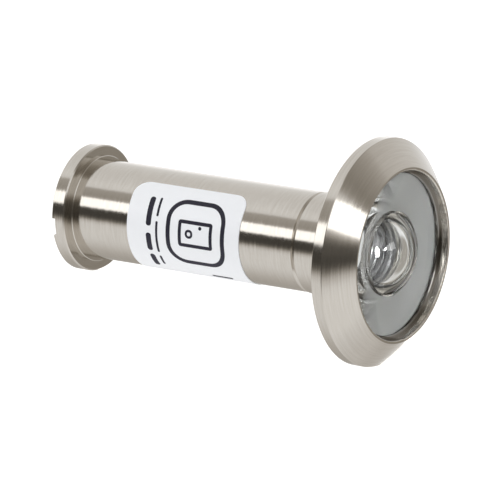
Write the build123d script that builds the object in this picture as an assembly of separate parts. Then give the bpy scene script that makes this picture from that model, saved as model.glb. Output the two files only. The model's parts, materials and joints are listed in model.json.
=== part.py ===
"""Wide-angle door viewer: an objective head and tube, and an eyepiece sleeve that screws onto it.

The viewer's axis is +Y. The origin is on that axis, in the plane of the head's back face, which
rests on the outer face of the door. The lens looks out along -Y and the eyepiece is at +Y.
Sizes are in millimetres. Turned pieces are drawn as half-sections, (radius, y), about the axis.
"""

from build123d import *
import os
from math import cos, radians, sin, tan

# Head, outside the door
HEAD_RADIUS = 14.0
RIM_WIDTH = 1.5  # cylindrical band behind the bevel
HEAD_DEPTH = 4.35  # back face to the crest of the lip
LIP_RADIUS = 10.75  # where the bevel meets the flat top of the lip
LIP_ROUND = 0.18
CELL_RADIUS = 10.38  # bore that holds the front lens, open at the lip
BEVEL_CROWN = 0.05  # how far the bevel bulges from a straight cone
EDGE_BREAK = 0.12

# Barrel, inside the door
SLEEVE_RADIUS = 6.2
COLLAR_RADIUS = 6.3
COLLAR_LENGTH = 7.6
SEAM = 0.05  # gap between the collar and the sleeve, screwed fully home
SEAM_CHAMFER = 0.25
GRIP = 40.3  # head's back face to the flange's inner face, screwed fully home
FLANGE_RADIUS = 7.95
FLANGE_WIDTH = 1.85
SHOULDER_RADIUS = 6.68  # low step that centres the flange in the hole
SHOULDER_WIDTH = 0.4
COIN_SLOT_WIDTH = 2.3
COIN_SLOT_DEPTH = 0.55
COIN_SLOT_ANGLE = 8.0  # from +X towards +Z, in degrees

# Label, wrapped round the sleeve
LABEL_THICKNESS = 0.08
LABEL_START = 15.4
LABEL_WIDTH = 16.5
LABEL_TOP_ANGLE = 122.0  # from +X towards +Z, in degrees
LABEL_WRAP = 200.0
LABEL_CORNER = 2.0

# Right-handed thread between the objective tube and the sleeve
PITCH = 1.0
MALE_CREST_RADIUS = 5.5
MALE_ROOT_RADIUS = 4.95
THREAD_PLAY = 0.1  # radial, at crests and roots
THREAD_HALF_ANGLE = 30.0
CREST_HALF_WIDTH = PITCH / 16
RIDGE_BURY = 0.06  # how far a thread ridge runs into the wall that carries it
TUBE_END = 31.4
MALE_THREAD_START = 9.3
MALE_THREAD_TURNS = 20.5
FEMALE_THREAD_TURNS = 9

# Objective's lenses and rings
PLAY = 0.04  # radial play of a lens or ring in its bore
GLASS_FACE = -2.85
DOME_RADIUS = 5.2
DOME_RISE = 2.3
BRIM_EDGE_WIDTH = 0.35
BRIM_ANGLE = 12.5  # slope of the cone behind the brim, in degrees
LAND_RADIUS = 4.15  # flat land behind the front lens, round its bowl
FRONT_BOWL_RADIUS = 4.0
FRONT_BOWL_DEPTH = 2.2
GASKET_WIDTH = 0.25  # along the axis
GASKET_INNER_RADIUS = 5.2
GASKET_GAP = 0.02
RETAINER_WIDTH = 0.4
RETAINER_INNER_RADIUS = 9.93
MIDDLE_LENS_RADIUS = 4.76
MIDDLE_LENS_BORE = MIDDLE_LENS_RADIUS + PLAY
MIDDLE_LENS_SEAT = 5.0
MIDDLE_LENS_WIDTH = 2.0
MIDDLE_BOWL_RADIUS = 3.2
MIDDLE_BOWL_DEPTH = 1.2
SPACER_BORE = (  # (radius, distance from the spacer's rear face)
    (3.3, 0.0),
    (3.3, 0.4),
    (3.5, 0.6),
    (3.5, 1.1),
    (3.3, 1.2),
    (3.3, 1.4),
    (3.65, 1.6),
    (3.65, 2.1),
    (3.45, 2.2),
    (3.45, 2.4),
    (3.85, 2.6),
    (3.85, 3.1),
    (3.65, 3.2),
    (3.65, 3.35),
    (4.0, 3.55),
)
STOP_WIDTH = 1.0  # rib between the two lens seats
STOP_RADIUS = 3.4
TUBE_BORE = 4.15
REAR_LENS_WIDTH = 2.0
LOCK_RING_WIDTH = 1.4

# Eyepiece's lens and rings
SLEEVE_BORE = MALE_CREST_RADIUS + THREAD_PLAY
OCULAR_BORE = 5.02
OCULAR_BORE_START = 36.5
OCULAR_SEAT = 40.9
EYE_HOLE_RADIUS = 3.6
EYE_CUP_RADIUS = 4.9
WASHER_WIDTH = 0.25
OCULAR_RIM_WIDTH = 1.2
OCULAR_CROWN = 0.65
OCULAR_LAND = 4.4  # radius inside which the eyepiece lens is curved
FIELD_STOP_WIDTH = 1.2
FIELD_STOP_RADIUS = 2.6


def turned(*edges):
    """A solid of revolution about the viewer's axis, from the edges of its half-section."""
    return revolve(make_face(list(edges)), Axis.Y)


def turned_outline(*points):
    """A solid of revolution whose half-section has straight sides only."""
    return turned(*Polyline(*points, close=True).edges())


def ring(inner, outer, low, high):
    """A plain ring between two planes across the axis."""
    return turned_outline((inner, low), (outer, low), (outer, high), (inner, high))


def lens_arc(rim_radius, rim_y, rise):
    """Half-section of a spherical lens surface whose apex lies `rise` beyond its rim along +Y."""
    curve_radius = (rim_radius**2 + rise**2) / (2 * abs(rise))
    half_way = rim_radius / 2
    drop = curve_radius - (curve_radius**2 - half_way**2) ** 0.5
    apex = rim_y + rise
    middle = apex - drop if rise > 0 else apex + drop
    return ThreePointArc((0, apex), (half_way, middle), (rim_radius, rim_y))


def brim_back(radius):
    """Where the cone behind the front lens's brim lies at a radius."""
    return GLASS_FACE + BRIM_EDGE_WIDTH + (CELL_RADIUS - PLAY - radius) * tan(radians(BRIM_ANGLE))


def gasket_front(radius):
    """Where the front of the conical gasket lies at a radius."""
    return brim_back(radius) + GASKET_GAP


def cell_floor(radius):
    """Where the conical floor of the front lens's cell lies at a radius."""
    return gasket_front(radius) + GASKET_WIDTH


def spanner_slots(width, depth, reach, face, angle=0.0):
    """A slot across the whole of a face at +Y, to be cut from a ring or flange."""
    return Rot(0, -angle, 0) * Pos(0, face - depth / 2, 0) * Box(2 * reach, depth, width)


def thread_ridge(wall, crest, start, turns):
    """A helical ridge that stands on a wall and rises to its crest, outward or inward."""
    buried = wall - RIDGE_BURY if crest > wall else wall + RIDGE_BURY
    foot = CREST_HALF_WIDTH + abs(crest - buried) * tan(radians(THREAD_HALF_ANGLE))
    section = Polyline(
        (buried, start - foot),
        (crest, start - CREST_HALF_WIDTH),
        (crest, start + CREST_HALF_WIDTH),
        (buried, start + foot),
        close=True,
    )
    path = Helix(PITCH, PITCH * turns, crest, center=(0, start, 0), direction=(0, 1, 0))
    return sweep(make_face(section), path=path, is_frenet=True)


def objective_housing():
    """Bevelled head, collar and threaded tube, turned from one bar."""
    crest = -HEAD_DEPTH
    lip_foot = crest + LIP_ROUND
    rim_front = -RIM_WIDTH
    bevel_foot = HEAD_RADIUS - 0.05
    lip = RadiusArc((CELL_RADIUS + LIP_ROUND, crest), (CELL_RADIUS, lip_foot), LIP_ROUND)
    land = Line((LIP_RADIUS, crest), (CELL_RADIUS + LIP_ROUND, crest))
    bevel = SagittaArc((bevel_foot, rim_front), (LIP_RADIUS, crest), BEVEL_CROWN)
    stop_end = MIDDLE_LENS_SEAT + STOP_WIDTH
    rest = Polyline(
        (bevel_foot, rim_front),
        (HEAD_RADIUS, rim_front + 0.08),
        (HEAD_RADIUS, -EDGE_BREAK),
        (HEAD_RADIUS - EDGE_BREAK, 0),
        (COLLAR_RADIUS, 0),
        (COLLAR_RADIUS, COLLAR_LENGTH - SEAM_CHAMFER),
        (COLLAR_RADIUS - SEAM_CHAMFER, COLLAR_LENGTH),
        (MALE_ROOT_RADIUS, COLLAR_LENGTH),
        (MALE_ROOT_RADIUS, TUBE_END - 0.2),
        (MALE_ROOT_RADIUS - 0.2, TUBE_END),
        (TUBE_BORE, TUBE_END),
        (TUBE_BORE, stop_end),
        (STOP_RADIUS, stop_end),
        (STOP_RADIUS, MIDDLE_LENS_SEAT),
        (MIDDLE_LENS_BORE, MIDDLE_LENS_SEAT),
        (MIDDLE_LENS_BORE, cell_floor(MIDDLE_LENS_BORE)),
        (CELL_RADIUS, cell_floor(CELL_RADIUS)),
        (CELL_RADIUS, lip_foot),
    )
    body = turned(*lip.edges(), *land.edges(), *bevel.edges(), *rest.edges())
    return body + thread_ridge(MALE_ROOT_RADIUS, MALE_CREST_RADIUS, MALE_THREAD_START, MALE_THREAD_TURNS)


def front_retaining_ring():
    """Thin ring pressed into the mouth of the cell, over the edge of the front lens."""
    low = GLASS_FACE - RETAINER_WIDTH
    outer = CELL_RADIUS - 0.01
    return turned_outline(
        (RETAINER_INNER_RADIUS + 0.1, low),
        (outer, low),
        (outer, GLASS_FACE),
        (RETAINER_INNER_RADIUS, GLASS_FACE),
        (RETAINER_INNER_RADIUS, low + 0.1),
    )


def front_gasket():
    """Dished rubber washer between the front lens's brim and the floor of its cell."""
    inner, outer = GASKET_INNER_RADIUS, CELL_RADIUS - PLAY
    return turned_outline(
        (inner, gasket_front(inner)),
        (outer, gasket_front(outer)),
        (outer, cell_floor(outer)),
        (inner, cell_floor(inner)),
    )


def objective_lens_front():
    """Dome with a wide flat-faced brim, coned behind, and a deep bowl that spreads the view."""
    rim = CELL_RADIUS - PLAY
    land = brim_back(LAND_RADIUS)
    dome = lens_arc(DOME_RADIUS, GLASS_FACE, -DOME_RISE)
    bowl = lens_arc(FRONT_BOWL_RADIUS, land, -FRONT_BOWL_DEPTH)
    brim = Polyline(
        (DOME_RADIUS, GLASS_FACE),
        (rim, GLASS_FACE),
        (rim, brim_back(rim)),
        (LAND_RADIUS, land),
        (FRONT_BOWL_RADIUS, land),
    )
    axis = Line((0, land - FRONT_BOWL_DEPTH), (0, GLASS_FACE - DOME_RISE))
    return turned(*dome.edges(), *brim.edges(), *bowl.edges(), *axis.edges())


def objective_spacer():
    """Ring that holds the front and middle lenses apart, ribbed inside against stray light."""
    low, high = brim_back(LAND_RADIUS), MIDDLE_LENS_SEAT - MIDDLE_LENS_WIDTH
    ribs = ((radius, high - depth) for radius, depth in SPACER_BORE)
    return turned_outline((FRONT_BOWL_RADIUS, low), (MIDDLE_LENS_RADIUS, low), (MIDDLE_LENS_RADIUS, high), *ribs)


def objective_lens_middle():
    """Flat in front, hollow behind, seated on the stop rib."""
    front = MIDDLE_LENS_SEAT - MIDDLE_LENS_WIDTH
    bowl = lens_arc(MIDDLE_BOWL_RADIUS, MIDDLE_LENS_SEAT, -MIDDLE_BOWL_DEPTH)
    rest = Polyline(
        (MIDDLE_BOWL_RADIUS, MIDDLE_LENS_SEAT),
        (MIDDLE_LENS_RADIUS, MIDDLE_LENS_SEAT),
        (MIDDLE_LENS_RADIUS, front),
        (0, front),
        (0, MIDDLE_LENS_SEAT - MIDDLE_BOWL_DEPTH),
    )
    return turned(*bowl.edges(), *rest.edges())


def objective_lens_rear():
    """Hollow on both faces, loaded from the rear of the tube against the stop rib."""
    front = MIDDLE_LENS_SEAT + STOP_WIDTH
    back = front + REAR_LENS_WIDTH
    rim = TUBE_BORE - PLAY
    front_bowl, front_depth = 3.3, 0.45
    back_bowl, back_depth = 3.4, 0.55
    front_arc = lens_arc(front_bowl, front, front_depth)
    back_arc = lens_arc(back_bowl, back, -back_depth)
    edge = Polyline((front_bowl, front), (rim, front), (rim, back), (back_bowl, back))
    axis = Line((0, front + front_depth), (0, back - back_depth))
    return turned(*front_arc.edges(), *edge.edges(), *back_arc.edges(), *axis.edges())


def objective_lock_ring():
    """Slotted ring that clamps the rear objective lens."""
    low = MIDDLE_LENS_SEAT + STOP_WIDTH + REAR_LENS_WIDTH
    high = low + LOCK_RING_WIDTH
    body = ring(3.45, TUBE_BORE - 0.01, low, high)
    return body - spanner_slots(0.8, 0.6, TUBE_BORE, high)


def eyepiece_sleeve():
    """Barrel with the female thread, the flange, its coin slot and the seat of the eyepiece."""
    low = COLLAR_LENGTH + SEAM
    back = GRIP + FLANGE_WIDTH
    shoulder = GRIP - SHOULDER_WIDTH
    lead_in = 0.25
    body = turned_outline(
        (SLEEVE_BORE + lead_in, low),
        (SLEEVE_BORE, low + lead_in),
        (SLEEVE_BORE, OCULAR_BORE_START - 0.6),
        (OCULAR_BORE, OCULAR_BORE_START),
        (OCULAR_BORE, OCULAR_SEAT),
        (EYE_HOLE_RADIUS, OCULAR_SEAT),
        (EYE_HOLE_RADIUS, OCULAR_SEAT + 0.35),
        (EYE_CUP_RADIUS, back),
        (FLANGE_RADIUS - 0.15, back),
        (FLANGE_RADIUS, back - 0.15),
        (FLANGE_RADIUS, GRIP + 0.15),
        (FLANGE_RADIUS - 0.15, GRIP),
        (SHOULDER_RADIUS, GRIP),
        (SHOULDER_RADIUS, shoulder + 0.08),
        (SHOULDER_RADIUS - 0.08, shoulder),
        (SLEEVE_RADIUS, shoulder),
        (SLEEVE_RADIUS, low + SEAM_CHAMFER),
        (SLEEVE_RADIUS - SEAM_CHAMFER, low),
    )
    female_start = MALE_THREAD_START - PITCH / 2
    body += thread_ridge(SLEEVE_BORE, MALE_ROOT_RADIUS + THREAD_PLAY, female_start, FEMALE_THREAD_TURNS)
    return body - spanner_slots(COIN_SLOT_WIDTH, COIN_SLOT_DEPTH, FLANGE_RADIUS + 1, back, COIN_SLOT_ANGLE)


def ocular_washer():
    """Thin washer between the flange and the eyepiece lens."""
    return ring(OCULAR_LAND, OCULAR_BORE - PLAY, OCULAR_SEAT - WASHER_WIDTH, OCULAR_SEAT)


def ocular_lens():
    """Lens with two bulging faces and a flat land round each."""
    back = OCULAR_SEAT - WASHER_WIDTH
    front = back - OCULAR_RIM_WIDTH
    rim = OCULAR_BORE - PLAY
    back_arc = lens_arc(OCULAR_LAND, back, OCULAR_CROWN)
    front_arc = lens_arc(OCULAR_LAND, front, -OCULAR_CROWN)
    edge = Polyline((OCULAR_LAND, front), (rim, front), (rim, back), (OCULAR_LAND, back))
    axis = Line((0, front - OCULAR_CROWN), (0, back + OCULAR_CROWN))
    return turned(*front_arc.edges(), *edge.edges(), *back_arc.edges(), *axis.edges())


def field_stop():
    """Cup whose rim spaces the eyepiece lens and whose floor has the aperture."""
    high = OCULAR_SEAT - WASHER_WIDTH - OCULAR_RIM_WIDTH
    low = high - FIELD_STOP_WIDTH
    floor = low + 0.35
    outer = OCULAR_BORE - PLAY
    return turned_outline(
        (FIELD_STOP_RADIUS, low),
        (outer, low),
        (outer, high),
        (OCULAR_LAND, high),
        (OCULAR_LAND, floor),
        (FIELD_STOP_RADIUS, floor),
    )


def ocular_lock_ring():
    """Slotted ring that clamps the field stop and the eyepiece lens from inside the sleeve."""
    high = OCULAR_SEAT - WASHER_WIDTH - OCULAR_RIM_WIDTH - FIELD_STOP_WIDTH
    low = high - LOCK_RING_WIDTH
    body = ring(4.0, OCULAR_BORE - 0.01, low, high)
    return body - spanner_slots(0.8, 0.6, OCULAR_BORE, low + 0.6)


def label_end(angle, outward):
    """What comes off one end of the label's strip to round its two corners."""
    radius = SLEEVE_RADIUS + LABEL_THICKNESS
    corner = radius * sin(LABEL_CORNER / radius)
    centre = radians(angle) - outward * LABEL_CORNER / radius
    radial = Vector(cos(centre), 0, sin(centre))
    tangent = Vector(-sin(centre), 0, cos(centre)) * outward
    middle = radial * radius + Vector(0, LABEL_START + LABEL_WIDTH / 2, 0)
    kept = Pos(-2 * corner, 0) * RectangleRounded(6 * corner, LABEL_WIDTH, corner)
    block = Pos(corner, 0) * Rectangle(2 * corner, LABEL_WIDTH + 1)
    plane = Plane(origin=middle, x_dir=tangent, z_dir=radial)
    return plane * extrude(block - kept, 0.5, both=True)


def label():
    """Rectangular sticker with round corners, wrapped part of the way round the sleeve."""
    bottom_angle = LABEL_TOP_ANGLE + LABEL_WRAP
    outer = SLEEVE_RADIUS + LABEL_THICKNESS
    section = Polyline(
        (SLEEVE_RADIUS, LABEL_START),
        (outer, LABEL_START),
        (outer, LABEL_START + LABEL_WIDTH),
        (SLEEVE_RADIUS, LABEL_START + LABEL_WIDTH),
        close=True,
    )
    strip = Rot(0, -bottom_angle, 0) * revolve(make_face(section), Axis.Y, revolution_arc=LABEL_WRAP)
    return strip - label_end(LABEL_TOP_ANGLE, -1) - label_end(bottom_angle, 1)


PIECES = (
    objective_housing,
    front_retaining_ring,
    front_gasket,
    objective_lens_front,
    objective_spacer,
    objective_lens_middle,
    objective_lens_rear,
    objective_lock_ring,
    eyepiece_sleeve,
    ocular_washer,
    ocular_lens,
    field_stop,
    ocular_lock_ring,
    label,
)

os.makedirs("parts", exist_ok=True)
for piece in PIECES:
    export_step(piece(), f"parts/{piece.__name__}.step")
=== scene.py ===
"""Looks of the door viewer: brushed nickel, a fisheye lens, a printed label, and the studio round them.

The viewer's axis is +Y, the lens looks out along -Y, and +Z is up. Everything is in metres.
Turned pieces are drawn as half-sections, (radius, y), about the axis.
"""

import json
import math

import bmesh
import bpy
from mathutils import Matrix, Vector


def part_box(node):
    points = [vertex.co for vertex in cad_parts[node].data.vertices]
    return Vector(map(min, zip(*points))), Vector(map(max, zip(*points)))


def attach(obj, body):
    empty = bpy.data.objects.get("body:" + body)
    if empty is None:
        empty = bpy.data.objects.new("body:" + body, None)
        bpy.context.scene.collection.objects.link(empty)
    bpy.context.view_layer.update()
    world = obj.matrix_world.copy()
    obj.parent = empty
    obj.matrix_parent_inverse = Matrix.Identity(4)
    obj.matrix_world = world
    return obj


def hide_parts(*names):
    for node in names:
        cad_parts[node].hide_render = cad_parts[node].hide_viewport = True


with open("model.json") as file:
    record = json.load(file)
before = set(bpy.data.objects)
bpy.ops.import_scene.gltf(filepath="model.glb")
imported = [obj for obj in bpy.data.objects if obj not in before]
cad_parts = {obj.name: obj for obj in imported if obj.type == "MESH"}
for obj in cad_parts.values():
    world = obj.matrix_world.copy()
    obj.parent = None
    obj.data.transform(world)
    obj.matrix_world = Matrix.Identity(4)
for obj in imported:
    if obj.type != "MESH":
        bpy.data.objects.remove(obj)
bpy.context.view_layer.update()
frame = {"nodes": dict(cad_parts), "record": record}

MM = 0.001
TURNED_STEPS = 288
ON_AXIS = 1e-9

# Front lens, beyond what the frame gives
DOME_RADIUS = 5.2 * MM
LAND_RADIUS = 4.15 * MM
BOWL_RADIUS = 4.0 * MM
BOWL_DEPTH = 2.2 * MM
BRIM_EDGE_WIDTH = 0.35 * MM

BLACKENED_BORE = 4.85 * MM  # the housing is painted black inside this radius

# Print on the label: places are (angle round the sleeve from +X towards +Z, distance along +Y)
PRINT_THICKNESS = 0.012 * MM
BADGE_ANGLE = 177.5
BADGE_CENTRE = 21.8 * MM
BADGE_SIZE = 8.6 * MM
BADGE_CORNER = 2.7 * MM
BADGE_STROKE = 0.6 * MM
WIDE_LINES = ((-4.0, 3.7), (0.6, 2.4), (3.6, 2.2))  # (start, length) round the sleeve, mm
THIN_LINES = ((-4.0, 2.4), (-1.0, 4.1), (3.7, 1.6))

# Camera
CAMERA_AZIMUTH = 56.6
CAMERA_ELEVATION = 14.1
CAMERA_AIM = Vector((-8.165, 12.436, 0.114)) * MM
CAMERA_DISTANCE = 574.0 * MM
CAMERA_LENS = 341.86


# ---------------------------------------------------------------- geometry


def link(name, mesh, material):
    """A new object in the scene, with one material."""
    mesh.materials.append(material)
    made = bpy.data.objects.new(name, mesh)
    bpy.context.scene.collection.objects.link(made)
    return made


def turned(name, outline, material, sharp_angle=25):
    """A closed surface of revolution about +Y from the corners of its half-section."""
    mesh = bpy.data.meshes.new(name)
    build = bmesh.new()
    rings = []
    for radius, y in outline:
        if radius < ON_AXIS:
            rings.append([build.verts.new((0, y, 0))] * TURNED_STEPS)
            continue
        turns = (math.tau * step / TURNED_STEPS for step in range(TURNED_STEPS))
        rings.append([build.verts.new((radius * math.cos(a), y, radius * math.sin(a))) for a in turns])
    for near, far in zip(rings, rings[1:] + rings[:1]):
        for step in range(TURNED_STEPS):
            after = (step + 1) % TURNED_STEPS
            corners = list(dict.fromkeys((near[step], near[after], far[after], far[step])))
            if len(corners) > 2:
                build.faces.new(corners)
    bmesh.ops.recalc_face_normals(build, faces=build.faces)
    build.to_mesh(mesh)
    build.free()
    mesh.shade_smooth()
    mesh.set_sharp_from_angle(angle=math.radians(sharp_angle))
    return link(name, mesh, material)


def cap_points(rim_radius, rim_y, rise, count=28):
    """Half-section of a spherical cap, from the axis out to its rim; its apex is at rim_y + rise."""
    curve_radius = (rim_radius**2 + rise**2) / (2 * abs(rise))
    half_angle = math.asin(rim_radius / curve_radius)
    side = math.copysign(1, rise)
    points = []
    for step in range(count + 1):
        angle = half_angle * step / count
        sag = curve_radius * (1 - math.cos(angle))
        points.append((curve_radius * math.sin(angle), rim_y + rise - side * sag))
    return points


def front_lens(glass):
    """Dome, flat brim with a cone behind it, and a deep bowl, turned much finer than the CAD mesh."""
    low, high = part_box("objective_lens_front")
    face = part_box("front_retaining_ring")[1].y
    outline = cap_points(DOME_RADIUS, face, low.y - face)
    outline += [(high.x, face), (high.x, face + BRIM_EDGE_WIDTH), (LAND_RADIUS, high.y)]
    outline += reversed(cap_points(BOWL_RADIUS, high.y, -BOWL_DEPTH))
    lens = turned("front_lens_glass", outline, glass)
    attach(lens, "objective")
    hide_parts("objective_lens_front")
    return lens


# ---------------------------------------------------------------- label print


LABEL_RADIUS = -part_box("label")[0].x


def on_sleeve(along, around, height):
    """The point that lies along +Y and around the sleeve (arc length, downward) from the badge's centre."""
    angle = math.radians(BADGE_ANGLE) + around / LABEL_RADIUS
    out = LABEL_RADIUS + height
    return Vector((out * math.cos(angle), BADGE_CENTRE + along, out * math.sin(angle)))


def printed(name, rows, material):
    """A thin patch of ink between closed (along, around) outlines, with its edge turned down to the label."""
    mesh = bpy.data.meshes.new(name)
    build = bmesh.new()
    top = [[build.verts.new(on_sleeve(*point, PRINT_THICKNESS)) for point in row[:-1]] for row in rows]
    top = [row + row[:1] for row in top]
    for near, far in zip(top, top[1:]):
        for step in range(len(near) - 1):
            build.faces.new((near[step], near[step + 1], far[step + 1], far[step]))
    edge = [e for e in build.edges if e.is_boundary]
    skirt = bmesh.ops.extrude_edge_only(build, edges=edge)["geom"]
    for vertex in (g for g in skirt if isinstance(g, bmesh.types.BMVert)):
        inward = Vector((-vertex.co.x, 0, -vertex.co.z)).normalized()
        vertex.co += inward * 2 * PRINT_THICKNESS
    bmesh.ops.recalc_face_normals(build, faces=build.faces)
    build.to_mesh(mesh)
    build.free()
    piece = link(name, mesh, material)
    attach(piece, "sleeve")
    return piece


def between(start, end, steps=24):
    """Evenly spaced points between two others, so that a long edge follows the sleeve's curve."""
    shares = [step / steps for step in range(1, steps)]
    return [(start[0] + (end[0] - start[0]) * t, start[1] + (end[1] - start[1]) * t) for t in shares]


def rounded_outline(width, height, corner, steps=12):
    """Closed (along, around) outline of a rounded rectangle, first point repeated at the end."""
    points = []
    for quarter, (sx, sy) in enumerate(((1, 1), (-1, 1), (-1, -1), (1, -1))):
        centre = (sx * (width / 2 - corner), sy * (height / 2 - corner))
        for step in range(steps + 1):
            angle = math.radians(90 * (quarter + step / steps))
            points.append((centre[0] + corner * math.cos(angle), centre[1] + corner * math.sin(angle)))
        if sx * sy > 0:
            along = (points[-1][0] - sx * width + 2 * sx * corner, points[-1][1])
            points += between(points[-1], along)
        else:
            around = (points[-1][0], points[-1][1] - sy * height + 2 * sy * corner)
            points += between(points[-1], around)
    return points + points[:1]


def shifted(points, along, around):
    """The same outline, moved."""
    return [(p + along, q + around) for p, q in points]


def frame_band(name, width, height, corner, stroke, material, along=0.0, around=0.0):
    """A rounded-rectangle outline of one stroke width."""
    outer = rounded_outline(width, height, corner)
    inner = rounded_outline(width - 2 * stroke, height - 2 * stroke, max(corner - stroke, 0.02 * MM))
    return printed(name, [shifted(outer, along, around), shifted(inner, along, around)], material)


def bar(name, length_along, length_around, material, along=0.0, around=0.0):
    """A filled bar with round corners, as rings that shrink to its middle."""
    corner = 0.45 * min(length_along, length_around)
    outline = rounded_outline(length_along, length_around, corner)
    rows = []
    for share in (1, 0.7, 0.4, 0.1, 0.001):
        rows.append(shifted([(p * share, q * share) for p, q in outline], along, around))
    return printed(name, rows, material)


def label_print(ink):
    """A door-and-viewer badge in a rounded square, with plain bars where a maker would print text."""
    frame_band("label_badge_frame", BADGE_SIZE, BADGE_SIZE, BADGE_CORNER, BADGE_STROKE, ink)
    frame_band("label_badge_door", 5.0 * MM, 3.4 * MM, 0.35 * MM, 0.45 * MM, ink)
    frame_band("label_badge_viewer", 1.1 * MM, 1.1 * MM, 0.5 * MM, 0.3 * MM, ink, along=0.9 * MM)
    bar("label_badge_handle", 0.45 * MM, 0.45 * MM, ink, along=-0.7 * MM, around=-0.9 * MM)
    for number, (start, length) in enumerate(WIDE_LINES):
        middle = (start + length / 2) * MM
        bar(f"label_line_wide_{number}", 0.75 * MM, length * MM, ink, along=6.9 * MM, around=middle)
    for number, (start, length) in enumerate(THIN_LINES):
        middle = (start + length / 2) * MM
        bar(f"label_line_thin_{number}", 0.32 * MM, length * MM, ink, along=5.7 * MM, around=middle)
    bar("label_mark_bottom", 3.0 * MM, 0.5 * MM, ink, along=-2.2 * MM, around=6.6 * MM)


# ---------------------------------------------------------------- materials


def new_material(name):
    """A material, its node tree and its Principled shader."""
    made = bpy.data.materials.new(name)
    made.use_nodes = True
    return made, made.node_tree, made.node_tree.nodes["Principled BSDF"]


def maths(tree, operation, first, second=None):
    """A Math node's output, for sockets or plain numbers."""
    node = tree.nodes.new("ShaderNodeMath")
    node.operation = operation
    for socket, value in zip(node.inputs, (first, second)):
        if value is None:
            continue
        if isinstance(value, (int, float)):
            socket.default_value = value
        else:
            tree.links.new(value, socket)
    return node.outputs[0]


def vector(tree, operation, first, second=None):
    """A Vector Math node, for sockets or plain triples."""
    node = tree.nodes.new("ShaderNodeVectorMath")
    node.operation = operation
    for socket, value in zip(node.inputs, (first, second)):
        if value is None:
            continue
        if isinstance(value, (tuple, Vector)):
            socket.default_value = value
        else:
            tree.links.new(value, socket)
    return node


def noise(tree, coordinates, scale, detail=2.0, rough=0.5):
    """A noise texture's value, mostly between 0.3 and 0.7."""
    node = tree.nodes.new("ShaderNodeTexNoise")
    node.inputs["Scale"].default_value = scale
    node.inputs["Detail"].default_value = detail
    node.inputs["Roughness"].default_value = rough
    tree.links.new(coordinates, node.inputs["Vector"])
    return node.outputs["Fac"]


def remap(tree, value, low, high, from_low=0.3, from_high=0.7):
    """A value moved from one range to another and held inside it; the default range fits noise."""
    node = tree.nodes.new("ShaderNodeMapRange")
    node.inputs["From Min"].default_value = from_low
    node.inputs["From Max"].default_value = from_high
    node.inputs["To Min"].default_value = low
    node.inputs["To Max"].default_value = high
    tree.links.new(value, node.inputs["Value"])
    return node.outputs["Result"]


def mixed(tree, share, first, second):
    """Colour mix of two sockets or colours by a share."""
    node = tree.nodes.new("ShaderNodeMix")
    node.data_type = "RGBA"
    tree.links.new(share, node.inputs["Factor"])
    for socket, value in ((node.inputs[6], first), (node.inputs[7], second)):
        if isinstance(value, tuple):
            socket.default_value = value
        else:
            tree.links.new(value, socket)
    return node.outputs[2]


def lathe_coordinates(tree, along_scale, around_scale):
    """Coordinates that run fast along the half-section and slowly round the axis, like a tool's marks."""
    place = tree.nodes.new("ShaderNodeTexCoord").outputs["Object"]
    flat = vector(tree, "MULTIPLY", place, (1, 0, 1)).outputs[0]
    radius = vector(tree, "LENGTH", flat).outputs["Value"]
    outward = vector(tree, "NORMALIZE", flat).outputs[0]
    parts = tree.nodes.new("ShaderNodeSeparateXYZ")
    tree.links.new(place, parts.inputs[0])
    along = maths(tree, "ADD", parts.outputs["Y"], maths(tree, "MULTIPLY", radius, 0.83))
    around = vector(tree, "SCALE", outward)
    around.inputs["Scale"].default_value = around_scale
    split = tree.nodes.new("ShaderNodeSeparateXYZ")
    tree.links.new(around.outputs[0], split.inputs[0])
    joined = tree.nodes.new("ShaderNodeCombineXYZ")
    tree.links.new(split.outputs["X"], joined.inputs["X"])
    tree.links.new(maths(tree, "MULTIPLY", along, along_scale), joined.inputs["Y"])
    tree.links.new(split.outputs["Z"], joined.inputs["Z"])
    return joined.outputs[0], outward, radius


def tilted_normal(tree, outward, amount, share):
    """The surface normal, turned round the axis by up to amount as share goes from 0 to 1."""
    tangent = vector(tree, "CROSS_PRODUCT", outward, (0, 1, 0)).outputs[0]
    scaled = vector(tree, "SCALE", tangent)
    tree.links.new(remap(tree, share, -amount, amount), scaled.inputs["Scale"])
    normal = tree.nodes.new("ShaderNodeNewGeometry").outputs["Normal"]
    return vector(tree, "NORMALIZE", vector(tree, "ADD", normal, scaled.outputs[0]).outputs[0]).outputs[0]


def brushed_nickel(name, comb, blackened_bore=None):
    """Warm satin nickel with lines brushed round the axis; inside blackened_bore it is painted black."""
    made, tree, shader = new_material(name)
    lines, outward, radius = lathe_coordinates(tree, 3600.0, 2.2)
    fine, _, _ = lathe_coordinates(tree, 11000.0, 7.0)
    streak = noise(tree, lines, 1.0, detail=3.0, rough=0.6)
    hair = noise(tree, fine, 1.0, detail=2.0)
    shader.inputs["Metallic"].default_value = 1.0
    tone = mixed(tree, remap(tree, streak, 0, 1), (0.575, 0.540, 0.490, 1), (0.625, 0.592, 0.543, 1))
    rough = remap(tree, hair, 0.09, 0.15)
    if blackened_bore:
        paint = remap(tree, radius, 1, 0, blackened_bore - 0.01 * MM, blackened_bore)
        tone = mixed(tree, paint, tone, (0.012, 0.012, 0.013, 1))
        rough = maths(tree, "MAXIMUM", rough, maths(tree, "MULTIPLY", paint, 0.55))
        tree.links.new(maths(tree, "SUBTRACT", 1, paint), shader.inputs["Metallic"])
    tree.links.new(tone, shader.inputs["Base Color"])
    tree.links.new(rough, shader.inputs["Roughness"])
    bump = tree.nodes.new("ShaderNodeBump")
    bump.inputs["Strength"].default_value = 0.4
    bump.inputs["Distance"].default_value = 0.003 * MM
    tree.links.new(hair, bump.inputs["Height"])
    tree.links.new(tilted_normal(tree, outward, comb, streak), bump.inputs["Normal"])
    tree.links.new(bump.outputs[0], shader.inputs["Normal"])
    return made


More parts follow.
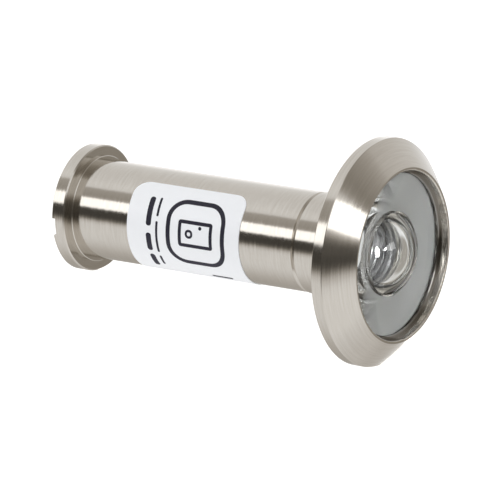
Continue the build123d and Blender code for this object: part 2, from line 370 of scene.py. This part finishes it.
def bright_nickel():
    """The same plating, polished, with its colour darkened well below nickel's as painted shade beside the
    glass.
    """
    made, tree, shader = new_material("nickel_plate_painted_shade")
    lines, outward, _ = lathe_coordinates(tree, 5000.0, 3.0)
    streak = noise(tree, lines, 1.0, detail=2.0)
    shader.inputs["Metallic"].default_value = 1.0
    # The dark base colour is painted shade, so that the ring beside the glass looks dark.
    tone = mixed(tree, streak, (0.24, 0.23, 0.215, 1), (0.28, 0.27, 0.255, 1))
    tree.links.new(tone, shader.inputs["Base Color"])
    tree.links.new(remap(tree, streak, 0.05, 0.10), shader.inputs["Roughness"])
    tree.links.new(tilted_normal(tree, outward, 0.01, streak), shader.inputs["Normal"])
    return made


def optical_glass():
    """Clear crown glass with a faint cool tint and slight smears in its polish."""
    made, tree, shader = new_material("optical_glass")
    place = tree.nodes.new("ShaderNodeTexCoord").outputs["Object"]
    shader.inputs["Transmission Weight"].default_value = 1.0
    shader.inputs["IOR"].default_value = 1.52
    haze = noise(tree, place, 700.0, detail=3.0)
    tree.links.new(remap(tree, haze, 0.0, 0.012), shader.inputs["Roughness"])
    tone = mixed(tree, haze, (0.965, 0.985, 0.975, 1), (0.975, 0.99, 0.985, 1))
    tree.links.new(tone, shader.inputs["Base Color"])
    return made


def blackened_metal():
    """Dull black anodised metal with fine turning marks."""
    made, tree, shader = new_material("blackened_metal")
    lines, _, _ = lathe_coordinates(tree, 7000.0, 2.0)
    marks = noise(tree, lines, 1.0, detail=2.0)
    tone = mixed(tree, marks, (0.018, 0.018, 0.020, 1), (0.05, 0.05, 0.054, 1))
    tree.links.new(tone, shader.inputs["Base Color"])
    tree.links.new(remap(tree, marks, 0.38, 0.55), shader.inputs["Roughness"])
    shader.inputs["Metallic"].default_value = 0.4
    bump = tree.nodes.new("ShaderNodeBump")
    bump.inputs["Distance"].default_value = 0.01 * MM
    tree.links.new(marks, bump.inputs["Height"])
    tree.links.new(bump.outputs[0], shader.inputs["Normal"])
    return made


def grey_metal():
    """Dull grey metal with fine turning marks, for the ribbed spacer."""
    made, tree, shader = new_material("grey_metal")
    lines, _, _ = lathe_coordinates(tree, 7000.0, 2.0)
    marks = noise(tree, lines, 1.0, detail=2.0)
    tone = mixed(tree, marks, (0.32, 0.32, 0.33, 1), (0.38, 0.38, 0.39, 1))
    tree.links.new(tone, shader.inputs["Base Color"])
    tree.links.new(remap(tree, marks, 0.2, 0.3), shader.inputs["Roughness"])
    shader.inputs["Metallic"].default_value = 1.0
    return made


def grey_rubber():
    """Smooth grey sealing rubber with a fine mottle."""
    made, tree, shader = new_material("grey_rubber")
    place = tree.nodes.new("ShaderNodeTexCoord").outputs["Object"]
    mottle = noise(tree, place, 2600.0, detail=4.0)
    tone = mixed(tree, mottle, (0.41, 0.41, 0.41, 1), (0.47, 0.47, 0.47, 1))
    tree.links.new(tone, shader.inputs["Base Color"])
    tree.links.new(remap(tree, mottle, 0.5, 0.7), shader.inputs["Roughness"])
    return made


def label_vinyl():
    """White vinyl, slightly glossy, with the faint orange peel of a printed sticker."""
    made, tree, shader = new_material("label_vinyl_white")
    place = tree.nodes.new("ShaderNodeTexCoord").outputs["Object"]
    mottle = noise(tree, place, 1500.0, detail=3.0)
    tone = mixed(tree, mottle, (0.80, 0.82, 0.855, 1), (0.83, 0.85, 0.885, 1))
    tree.links.new(tone, shader.inputs["Base Color"])
    tree.links.new(remap(tree, mottle, 0.32, 0.42), shader.inputs["Roughness"])
    bump = tree.nodes.new("ShaderNodeBump")
    bump.inputs["Strength"].default_value = 0.3
    bump.inputs["Distance"].default_value = 0.008 * MM
    tree.links.new(mottle, bump.inputs["Height"])
    tree.links.new(bump.outputs[0], shader.inputs["Normal"])
    return made


def printing_ink():
    """Dark indigo ink, a little uneven in cover."""
    made, tree, shader = new_material("printing_ink")
    place = tree.nodes.new("ShaderNodeTexCoord").outputs["Object"]
    cover = noise(tree, place, 4000.0, detail=3.0)
    tone = mixed(tree, cover, (0.004, 0.003, 0.014, 1), (0.010, 0.008, 0.028, 1))
    tree.links.new(tone, shader.inputs["Base Color"])
    tree.links.new(remap(tree, cover, 0.45, 0.6), shader.inputs["Roughness"])
    return made


def dress_frame(finishes):
    """Gives every CAD node the finish of its material slot."""
    for sub_part in frame["record"]["subparts"]:
        node = frame["nodes"][sub_part["node"]]
        finish = finishes.get(sub_part["node"]) or finishes[sub_part["material_slot"]]
        for material_slot in node.material_slots:
            material_slot.material = finish


# ---------------------------------------------------------------- studio

# What the metal sees, by angle about +Y from +X towards +Z: {degrees: brightness}. Two scratch scripts sampled
# the photo's brightness along the turned surfaces and worked back to the light needed from each direction.
# These lists were written from their output: thinned, rounded, and in places adjusted by hand.
BEHIND = {
    -180: 0.07, -175: 0.08, -170: 0.18, -166: 0.50, -162: 0.78, -156: 0.92, -140: 0.95, -120: 0.92,
    -108: 0.85, -96: 0.76, -84: 0.66, -66: 0.56, -50: 0.49, -36: 0.46, -25: 0.70, 4: 1.25,
    12: 1.10, 24: 0.93, 42: 0.88, 66: 0.85, 90: 0.89, 108: 0.96, 117: 0.92, 121: 0.50,
    138: 0.42, 143: 0.50, 145: 1.90, 164: 1.90, 167: 0.10, 172: 0.07,
}  # fmt: skip
AHEAD = {
    -180: 0.09, -170: 0.08, -163: 0.11, -157: 0.25, -148: 0.67, -137: 0.93, -127: 1.00, -94: 0.98,
    -82: 0.87, -70: 0.78, -60: 0.74, -50: 0.64, -41: 0.65, -33: 0.80, -20: 0.80, -5: 0.95,
    2: 0.90, 11: 0.83, 30: 0.75, 48: 0.66, 53: 0.54, 59: 0.47, 66: 0.41, 81: 0.33,
    90: 0.36, 96: 0.50, 102: 0.90, 141: 0.90, 150: 0.50, 158: 0.20, 168: 0.11,
}  # fmt: skip
AHEAD_UP_TO = 0.38  # Y of the direction; from here to BEHIND_FROM the two lists blend
BEHIND_FROM = 0.48
SHADE_TINT = (1.0, 0.93, 0.83)
TINT_BELOW = 0.9  # dimmer levels than this are tinted, and fully so when TINT_RANGE dimmer
TINT_RANGE = 0.6
FLAG_DIRECTION = (0.82, -0.52, -0.24)  # a grey card that the flat faces mirror
FLAG_BRIGHTNESS = 0.36
FLAG_RADIUS = 24  # degrees; it fades out from here to FLAG_RIM
FLAG_RIM = 30
LIGHT_BOUNCES = 24  # light that the lens's brim traps needs more than the usual 12
SOFTBOX_DISTANCE = 1.0
DAYLIGHT_PLACE = 4.9 * MM
DAYLIGHT_WIDTH = 8.4 * MM
DAYLIGHT_RADIANCE = 0.8
FLOOR_DEPTH = 100 * MM
FLOOR_RADIUS = 4.0
FLOOR_GLOW = 0.55


def brightness_ramp(tree, share, levels):
    """A colour ramp round the axis; its dark stretches are warm."""
    ramp = tree.nodes.new("ShaderNodeValToRGB")
    tree.links.new(share, ramp.inputs[0])
    stops = ramp.color_ramp.elements
    stops.remove(stops[1])
    for number, (degrees, level) in enumerate(levels.items()):
        place = (degrees + 180) / 360
        stop = stops[0] if number == 0 else stops.new(place)
        stop.position = place
        warmth = max(0.0, min(1.0, (TINT_BELOW - level) / TINT_RANGE))
        stop.color = (*(level * (1 + warmth * (tint - 1)) for tint in SHADE_TINT), 1)
    return ramp.outputs[0]


def surroundings():
    """Light and dark cards round the viewer's axis for reflections, and plain white behind everything."""
    world = bpy.data.worlds.new("studio")
    bpy.context.scene.world = world
    world.use_nodes = True
    tree = world.node_tree
    tree.nodes.clear()
    direction = tree.nodes.new("ShaderNodeTexCoord").outputs["Generated"]
    parts = tree.nodes.new("ShaderNodeSeparateXYZ")
    tree.links.new(direction, parts.inputs[0])
    angle = maths(tree, "ARCTAN2", parts.outputs["Z"], parts.outputs["X"])
    share = remap(tree, angle, 0, 1, -math.pi, math.pi)
    rearward = remap(tree, parts.outputs["Y"], 0, 1, AHEAD_UP_TO, BEHIND_FROM)
    cards = mixed(tree, rearward, brightness_ramp(tree, share, AHEAD), brightness_ramp(tree, share, BEHIND))
    facing = vector(tree, "DOT_PRODUCT", direction, Vector(FLAG_DIRECTION).normalized()).outputs["Value"]
    flag = tuple(FLAG_BRIGHTNESS * tint for tint in SHADE_TINT) + (1,)
    rim, core = math.cos(math.radians(FLAG_RIM)), math.cos(math.radians(FLAG_RADIUS))
    cards = mixed(tree, remap(tree, facing, 0, 1, rim, core), cards, flag)
    seen_directly = tree.nodes.new("ShaderNodeLightPath").outputs["Is Camera Ray"]
    background = tree.nodes.new("ShaderNodeBackground")
    tree.links.new(mixed(tree, seen_directly, cards, (1, 1, 1, 1)), background.inputs[0])
    output = tree.nodes.new("ShaderNodeOutputWorld")
    tree.links.new(background.outputs[0], output.inputs[0])


def softbox(name, towards, width_angle, height_angle, radiance, shape="RECTANGLE", tall=(0, 0, 1), only=None):
    """An area light that faces the viewer and fills the given angles; it may light one piece only."""
    towards = Vector(towards).normalized()
    wide = Vector(tall).cross(towards).normalized()
    light = bpy.data.lights.new(name, "AREA")
    light.shape = shape
    light.size = 2 * SOFTBOX_DISTANCE * math.tan(math.radians(width_angle / 2))
    light.size_y = 2 * SOFTBOX_DISTANCE * math.tan(math.radians(height_angle / 2))
    area = light.size * light.size_y * (math.pi / 4 if shape == "ELLIPSE" else 1)
    light.energy = radiance * math.pi * area
    box = bpy.data.objects.new(name, light)
    box.location = towards * SOFTBOX_DISTANCE
    box.rotation_mode = "QUATERNION"
    box.rotation_quaternion = Matrix((wide, towards.cross(wide), towards)).transposed().to_quaternion()
    box.visible_camera = False
    bpy.context.scene.collection.objects.link(box)
    if only:
        box.light_linking.receiver_collection = bpy.data.collections.new(name + "_lights")
        box.light_linking.receiver_collection.objects.link(only)


def daylight_down_the_barrel():
    """A dim disc behind the middle lens, for the light of the room that comes through the eyepiece."""
    light = bpy.data.lights.new("barrel_daylight", "AREA")
    light.shape = "DISK"
    light.size = DAYLIGHT_WIDTH
    light.energy = DAYLIGHT_RADIANCE * math.pi * math.pi * (light.size / 2) ** 2
    disc = bpy.data.objects.new("barrel_daylight", light)
    disc.location = (0, DAYLIGHT_PLACE, 0)
    disc.rotation_euler = (-math.pi / 2, 0, 0)
    disc.visible_camera = False
    bpy.context.scene.collection.objects.link(disc)


def floor():
    """A wide white floor well below the viewer, bright enough to merge with the background."""
    made, tree, shader = new_material("white_floor")
    shader.inputs["Base Color"].default_value = (0.9, 0.9, 0.9, 1)
    shader.inputs["Roughness"].default_value = 0.8
    shader.inputs["Emission Color"].default_value = (1, 1, 1, 1)
    shader.inputs["Emission Strength"].default_value = FLOOR_GLOW
    mesh = bpy.data.meshes.new("studio_floor")
    build = bmesh.new()
    bmesh.ops.create_circle(build, cap_ends=True, segments=64, radius=FLOOR_RADIUS)
    build.to_mesh(mesh)
    build.free()
    piece = link("studio_floor", mesh, made)
    piece.location.z = -FLOOR_DEPTH
    piece.visible_glossy = False
    piece.visible_transmission = False
    piece.visible_shadow = False


def camera():
    """A long lens from the front left, a little above the viewer."""
    azimuth, elevation = math.radians(CAMERA_AZIMUTH), math.radians(CAMERA_ELEVATION)
    level = math.cos(elevation)
    forward = Vector((math.sin(azimuth) * level, math.cos(azimuth) * level, -math.sin(elevation)))
    data = bpy.data.cameras.new("camera")
    data.lens = CAMERA_LENS
    data.sensor_width = 36
    data.clip_start = 0.01
    data.clip_end = 20
    made = bpy.data.objects.new("camera", data)
    made.location = CAMERA_AIM - forward * CAMERA_DISTANCE
    right = forward.cross(Vector((0, 0, 1))).normalized()
    made.rotation_mode = "QUATERNION"
    made.rotation_quaternion = Matrix((right, right.cross(forward), -forward)).transposed().to_quaternion()
    bpy.context.scene.collection.objects.link(made)
    bpy.context.scene.camera = made


def studio(lens):
    """All that is round the viewer. Three lights shine on the front lens only, and one on the label only."""
    surroundings()
    floor()
    camera()
    softbox("lens_key", (-0.388, -0.918, 0.10), 12, 22, 20.0, "ELLIPSE", only=lens)
    softbox("bevel_card", (-0.23, -0.888, 0.40), 16, 21, 1.6, tall=(-0.241, -0.068, -0.281))
    softbox("lens_kicker", (-0.088, -0.985, 0.146), 6, 6, 36.0, "ELLIPSE", only=lens)
    softbox("lens_window", (0.2, -0.96, 0.17), 14, 13, 4.5, only=lens)
    softbox("label_fill", (-0.3, -0.2, 0.93), 60, 50, 1.3, only=frame["nodes"]["label"])
    softbox("rim_kicker", (0.85, 0.33, -0.41), 12, 26, 1.2)
    daylight_down_the_barrel()
    bpy.context.scene.view_settings.view_transform = "Standard"
    cycles = bpy.context.scene.cycles
    cycles.max_bounces = cycles.transmission_bounces = cycles.glossy_bounces = LIGHT_BOUNCES


# ---------------------------------------------------------------- build

glass = optical_glass()
dress_frame(
    {
        "satin_nickel": brushed_nickel("satin_nickel_plate", 0.012),
        "objective_housing": brushed_nickel(
            "satin_nickel_blackened_bore", 0.006, blackened_bore=BLACKENED_BORE
        ),
        # the retaining ring's plate, its colour darkened as painted shade
        "bright_nickel": bright_nickel(),
        "lens_glass": glass,
        "blackened_ring": blackened_metal(),
        "grey_metal": grey_metal(),
        "grey_rubber": grey_rubber(),
        "label_vinyl": label_vinyl(),
    }
)
front_glass = front_lens(glass)
label_print(printing_ink())
studio(front_glass)
